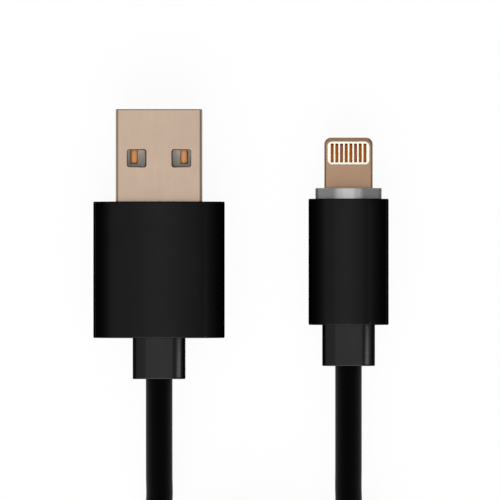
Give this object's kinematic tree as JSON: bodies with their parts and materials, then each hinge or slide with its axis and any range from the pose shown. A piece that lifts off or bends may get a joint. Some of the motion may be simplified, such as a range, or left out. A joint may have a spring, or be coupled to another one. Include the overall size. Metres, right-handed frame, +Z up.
{
  "type": "charging cable",
  "caption": "Charging cable with a USB-A plug and a flat two-sided phone plug in black housings, its cord folded into a flat hank held by a strap.",
  "frame": {"origin": "on the table that the cable lies on, under the middle of the pair of plugs without the free cord", "axes": "+Y towards the plugs' tips, +Z up from the table, +X from the USB plug to the phone plug"},
  "size_m": [0.0459, 0.138, 0.0108],
  "materials": {
    "shell_steel": "satin, warm tinted plating",
    "tab_steel": "satin, warm tinted plating",
    "collar_metal": "polished",
    "tinned_metal": "tinned",
    "contact_gold": "gold plated",
    "housing_black": "black anodised, satin",
    "relief_grey": "smooth satin",
    "cord_black": "smooth satin",
    "tongue_white": "matte",
    "insert_white": "semi gloss",
    "mould_black": "matte",
    "board_green": "solder mask",
    "chip_black": "matte",
    "capacitor_tan": "matte",
    "lead_red": "smooth",
    "lead_white": "smooth",
    "lead_green": "smooth",
    "lead_black": "smooth",
    "strap_fabric": "hook and loop tape"
  },
  "bodies": {
    "root": {"usb_shell": "shell_steel", "usb_insulator": "tongue_white", "usb_contacts": "contact_gold", "usb_rear_shield": "tinned_metal", "usb_inner_mould": "mould_black", "usb_sleeve": "housing_black", "usb_strain_relief": "relief_grey", "usb_crimp": "tinned_metal", "usb_jacket_end": "cord_black", "usb_lead_red": "lead_red", "usb_lead_white": "lead_white", "usb_lead_green": "lead_green", "usb_lead_black": "lead_black", "usb_solder_joints": "tinned_metal", "tab_frame": "tab_steel", "contact_insert": "insert_white", "front_contacts": "contact_gold", "back_contacts": "contact_gold", "collar": "collar_metal", "plug_board": "board_green", "id_chip": "chip_black", "power_chip": "chip_black", "board_capacitors": "capacitor_tan", "phone_inner_mould": "mould_black", "phone_sleeve": "housing_black", "phone_strain_relief": "relief_grey", "phone_crimp": "tinned_metal", "phone_jacket_end": "cord_black", "phone_lead_red": "lead_red", "phone_lead_white": "lead_white", "phone_lead_green": "lead_green", "phone_lead_black": "lead_black", "phone_solder_joints": "tinned_metal", "usb_side_cord": "cord_black", "cord_hank": "cord_black", "phone_side_cord": "cord_black", "cord_tie": "strap_fabric"}
  },
  "joints": []
}
